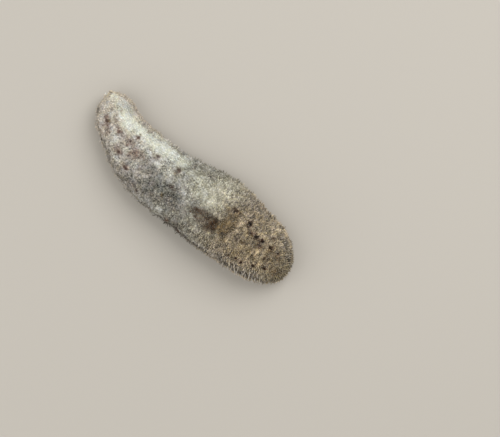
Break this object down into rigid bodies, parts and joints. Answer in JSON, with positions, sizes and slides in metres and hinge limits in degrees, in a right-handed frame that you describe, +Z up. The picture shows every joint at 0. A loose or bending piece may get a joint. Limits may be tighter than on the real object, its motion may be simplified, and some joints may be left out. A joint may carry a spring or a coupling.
{
  "type": "sea cucumber",
  "caption": "Life-size still model of a sea cucumber lying on its flat sole, with soft papillae over its arched back and a fringe along both edges.",
  "frame": {"origin": "on the floor, under the middle of the model's box", "axes": "+X along the body towards the mouth end, +Y to the animal's left flank, +Z up"},
  "size_m": [0.135, 0.0532, 0.0276],
  "materials": {
    "pale_skin": "damp soft skin, cream and lilac grey, lightly mottled",
    "mottled_skin": "damp soft skin, grey with a pale blotch and dark brown patches",
    "brown_skin": "damp soft skin, olive brown with fine cross streaks",
    "sole_skin": "smooth pale skin with pale tube feet",
    "tentacle_skin": "soft folded tentacles, yellowish brown"
  },
  "bodies": {
    "root": {"anal_end": "pale_skin", "hind_back": "pale_skin", "mid_back": "mottled_skin", "fore_back": "brown_skin", "mouth_end": "brown_skin", "hind_sole": "sole_skin", "mid_sole": "sole_skin", "fore_sole": "sole_skin", "tentacle_crown": "tentacle_skin"}
  },
  "joints": []
}
